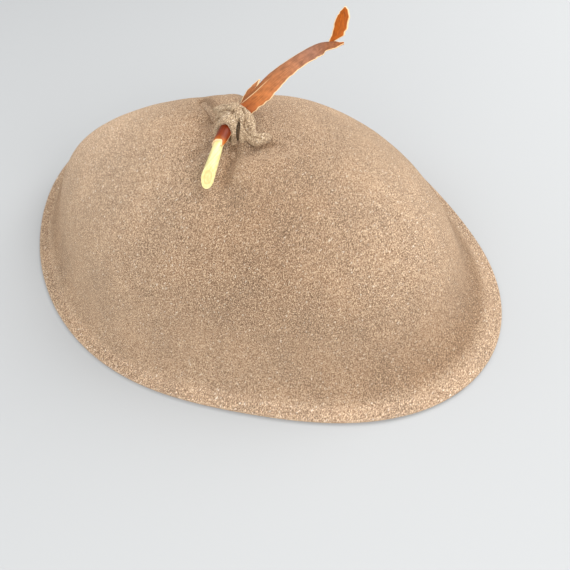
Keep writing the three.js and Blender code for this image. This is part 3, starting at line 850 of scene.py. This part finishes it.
FRONT_SPAN, FRONT_CELL, FRONT_SEED = 22, 1.6, 8  # and the noise that tears it
TONGUE_LENGTH, TONGUE_AT, TONGUE_WIDTH = 0.028, 0.88, 0.06  # a tongue that reaches forward from it
FRONT_MARKS = 300  # its distances count as over three times as far, so its pale edge is thin
THIN_EDGE, THIN_WITHIN = 0.35, 0.1  # the share of its thickness at its edges, thinned within a share
RAGGED = [(0.5, 7, 21), (0.25, 1.7, 22)]  # the long edges: amount, cell along the bark, seed
LEFT_RAGGED, RIGHT_RAGGED = 1 / 6, 1 / 5  # and the share of each side's width that it moves


def both_faces(values):
    """Values across a strip's outer face, and back across its inner one."""
    return np.concatenate([values, values[:, ::-1]], axis=1)


def bark_marks(along, across, edge):
    """What the bark's finish is placed by, on both faces of a strip: the marks along it, the mm
    across it, the distance to a torn edge, and 1 on the inner face."""
    return {
        "along": both_faces(along), "across": both_faces(across), "edge": both_faces(edge),
        "inside": np.concatenate([0 * across, 0 * across + 1], axis=1),
    }


def thickness(share, at_edge, within):
    """Bark's thickness at a share across: the given part of it at both edges, and all of it from
    the share within inwards."""
    full = np.clip(np.minimum(share, 1 - share) / within, 0, 1)
    return BARK * (at_edge + (1 - at_edge) * full)


def bark_rings(rows, lengths=260, arc=36):
    """Sections along the path: an outer arc of points at angle reach / radius, for reach from -left
    to right, and back along an inner arc one bark's thickness below. Its front end is torn."""
    share = np.linspace(0, 1, arc)
    ragged_end = 0.5 + 0.5 * lattice_noise(share * FRONT_SPAN, 0 * share, FRONT_CELL, FRONT_SEED)
    start = FRONT_BACK + FRONT_SLANT * share + FRONT_RAGGED * ragged_end
    start = np.maximum(start - TONGUE_LENGTH * bell(share, TONGUE_AT, TONGUE_WIDTH), 0)
    t = start + (1 - start) * np.linspace(0, 1, lengths)[:, None]
    table = along_rows(rows, t)
    place, (radius, left, right_reach, lean) = table[..., :3], np.moveaxis(table[..., 3:], -1, 0)
    ragged = sum(amount * lattice_noise(t * MARKS, 0 * t, cell, seed) for amount, cell, seed in RAGGED)
    left = left + ragged * left * LEFT_RAGGED
    right_reach = right_reach + ragged[::-1] * right_reach * RIGHT_RAGGED
    tangent, right, up = across_path(place, lean[..., None])
    middle = place + up * (BARK_RADIUS - radius)[..., None]
    reach = -left * (1 - share) + right_reach * share
    turn = reach / radius
    outer, inner = (
        middle + (size * np.sin(turn))[..., None] * right + (size * np.cos(turn))[..., None] * up
        for size in (radius, radius - thickness(share, THIN_EDGE, THIN_WITHIN))
    )
    edge = np.minimum(np.minimum(reach + left, right_reach - reach), (t - start) * FRONT_MARKS)
    return np.concatenate([outer, inner[:, ::-1]], axis=1) + FROM_TIP, bark_marks(t * MARKS, reach, edge)


bark_mesh = skin("bark_strip_curl", *bark_rings(BARK_ROWS))

# %% [markdown]
# The bark's finish
#
# Young bark is red-brown and smooth, with a soft gloss where it is still tight on the twig. Where it
# has dried in the air it is orange-brown and duller, and its fibres show as long streaks. Torn
# edges show the pale bast below. It could be painted on an unwrapped strip. Here the finish reads
# the strip's own marks, so that the streaks follow the fibres round every bend.

# %% Bark: material
BARK_SHADES = [(0.0, "#c27a28"), (0.028, "#ae5c18"), (0.045, "#7c2e08"), (0.12, "#6a2002"),
               (0.24, "#8a4216"), (0.34, "#b06836"), (0.5, "#a76b45"), (0.66, "#9a6a52"),
               (0.79, "#925e40"), (0.93, "#96562c"), (1.0, "#a65208")]  # shares of its marks
FLAP_STRETCH = [(0.0, 0), (0.25, 0), (0.28, 1), (0.37, 0.8), (0.44, 0), (1.0, 0)]  # and how much
FLAP_SHADE_COLOUR, FLAP_FROM, FLAP_FULL = "#8f5429", -2.2, -3.0  # painted shade on the bark left of the torn ridge, where it turns away from the light; in mm
RIDGE_AT, RIDGE_OUT, RIDGE_FULL = -2.2, 0.34, 0.12  # the ridge's place, its half width, its core
TORN_COLOUR, TORN_OUT, TORN_FULL = "#f0cf9e", 0.5, 0.2  # pale within so many mm of a torn edge
INNER_COLOUR = "#c48a58"
STREAKS_PER_MM, STREAK_LENGTH, STREAK_DETAIL, STREAK_CURL = 2.2, 10, 6, 0.5
PATCHES_PER_MM, PATCH_DETAIL = 0.35, 4
SHADE_RANGE, SHADE_GIVES = (0.7, 1.3), (0.6, 1.3)  # streaks and patches together, and their shade
GLOSSY, DULL, GLOSSY_TO, DULL_FROM = 0.42, 0.62, 16, 28  # roughness, and marks along the bark
BARK_BUMP, BARK_BUMP_DEPTH = 0.6, 0.18 * MM


def twig_bark():
    """Smooth young bark. A ramp along it carries it from glossy red-brown by the knot to duller
    orange-brown where it is broad, streaks give it fibres, painted shade darkens the flap left of
    the torn ridge, which turns away from the light, and pale bast shows on the ridge and at torn edges."""
    material, tree, shader = new_material("young_red_bark", {"Specular IOR Level": 0.2})
    along, across, edge, inside = (
        attribute(tree, name) for name in ("along", "across", "edge", "inside"))
    flat = add_node(tree, "CombineXYZ", {0: along, 1: across}).outputs[0]
    fibres = stretched(tree, flat, (1 / STREAK_LENGTH, 1, 1))
    streaks = noise(tree, fibres, 1 / STREAKS_PER_MM, STREAK_DETAIL, STREAK_CURL)
    patches = noise(tree, flat, 1 / PATCHES_PER_MM, PATCH_DETAIL)
    shade = spread(tree, combined(tree, "ADD", streaks, patches), *SHADE_RANGE, *SHADE_GIVES)
    share = spread(tree, along, 0, MARKS)
    colour = mixed(tree, 1.0, colour_ramp(tree, share, BARK_SHADES), shade, "MULTIPLY")
    by_flap = colour_ramp(tree, share, FLAP_STRETCH)
    left_side = spread(tree, across, FLAP_FROM, FLAP_FULL)
    # painted shade on the flap left of the torn ridge
    colour = mixed(tree, combined(tree, "MULTIPLY", by_flap, left_side), colour, linear(FLAP_SHADE_COLOUR))
    off_ridge = combined(tree, "ABSOLUTE", combined(tree, "ADD", across, -RIDGE_AT))
    ridge = combined(tree, "MULTIPLY", spread(tree, off_ridge, RIDGE_OUT, RIDGE_FULL), by_flap)
    torn = combined(tree, "MAXIMUM", spread(tree, edge, TORN_OUT, TORN_FULL), ridge)
    colour = mixed(tree, torn, colour, linear(TORN_COLOUR))
    colour = mixed(tree, inside, colour, linear(INNER_COLOUR))
    feed(tree, shader, colour, streaks, BARK_BUMP, BARK_BUMP_DEPTH)
    gloss = spread(tree, along, GLOSSY_TO, DULL_FROM, GLOSSY, DULL)
    tree.links.new(gloss, shader.inputs["Roughness"])
    print("material:", material.name, "with", len(tree.nodes), "nodes")
    return material


bark = twig_bark()
add_piece("bark_strip_curl", bark_mesh, bark, "bark", "bark_strip")

# %% [markdown]
# The bark's torn pieces
#
# Two pieces have torn away from the strip and stand off it: a blade at its fork and a short flap
# where it leaves the knot. Each is a thin leaf of bark that bows a little across and runs to a
# point. A plane cut to an outline would be flat and have no thickness. Here a leaf hangs between
# two edge lines and has the bark's thickness, thinner by its edges.

# %% Bark: torn pieces
LEAVES = {  # marks along the bark where it starts, bow in mm, and its left and right edge as x, y, z
    "bark_blade": (100, 0.9, [
        (23.3, 43.2, 95.5), (23.9, 45.8, 98.4), (23.6, 48.9, 102.1), (24.0, 51.9, 105.6),
        (25.2, 54.0, 107.6), (26.0, 55.1, 108.4)], [
        (24.4, 43.6, 95.3), (29.2, 48.4, 98.3), (29.9, 51.1, 101.3), (29.7, 53.5, 104.4),
        (28.1, 55.2, 107.3), (26.6, 55.4, 108.5)]),
    "bark_torn_flap": (30, 0.25, [
        (-4.4, 5.4, 76.9), (-4.8, 10.2, 79.2), (-4.2, 13.3, 80.9), (-2.6, 16.2, 82.8),
        (-0.5, 18.5, 84.7)], [
        (-0.2, 5.0, 78.4), (0.2, 10.6, 80.8), (0.4, 13.6, 82.2), (0.3, 16.3, 83.4), (0.2, 18.4, 84.8)]),
}
LEAF_TORN, LEAF_SPAN, LEAF_CELL, LEAF_SEED = 0.04, 14, 1, 41  # ragged edges: share of width, noise
LEAF_THIN_EDGE, LEAF_THIN_WITHIN = 0.3, 0.125
BOWED_FROM = 4  # a leaf that is narrower than this bows less
PALE_RIGHT = 0.6  # its right edge counts as this much nearer, so it is paler
LEFT_OF_RIDGE = -2.6  # a leaf's place across counts from here, clear of the torn ridge and in the painted shade left of it where the flap reaches


def edge_line(points, t):
    """Points at shares t along a line with the given corners."""
    at = t * (len(points) - 1)
    return np.stack([np.interp(at, range(len(points)), column) for column in zip(*points)], -1)


def leaf(start, bow, left, right, lengths=60, arc=18):
    """A thin leaf between two edge lines: its upper face bows out by 4 bow s (1 - s) over the share s
    across, and its lower face lies one bark's thickness under it, less by the edges."""
    t, share = np.linspace(0, 1, lengths), np.linspace(0, 1, arc)[:, None]
    left, right = edge_line(left, t), edge_line(right, t)
    torn = LEAF_TORN * lattice_noise(t * LEAF_SPAN, 0 * t, LEAF_CELL, LEAF_SEED)[:, None]
    left, right = left + torn * (right - left), right + torn[::-1] * (right - left)
    onward = np.gradient((left + right) / 2, axis=0)
    along = (start + np.cumsum(np.linalg.norm(onward, axis=1)))[:, None]
    outward = unit(np.cross(right - left, onward))[:, None]
    width = np.linalg.norm(right - left, axis=1)[:, None]
    bowed = 4 * bow * share * (1 - share) * np.minimum(width / BOWED_FROM, 1)[..., None]
    upper = left[:, None] * (1 - share) + right[:, None] * share + outward * bowed
    lower = upper - outward * thickness(share, LEAF_THIN_EDGE, LEAF_THIN_WITHIN)
    reach = share[:, 0] * width
    edge = np.minimum(np.minimum(reach, PALE_RIGHT * (width - reach)), along.max() - along)
    marks = bark_marks(along + 0 * reach, reach - width + LEFT_OF_RIDGE, edge)
    return np.concatenate([upper, lower[:, ::-1]], axis=1) + FROM_TIP, marks


for name, (start, bow, left, right) in LEAVES.items():
    add_piece(name, skin(name, *leaf(start, bow, left, right)), bark, "bark")
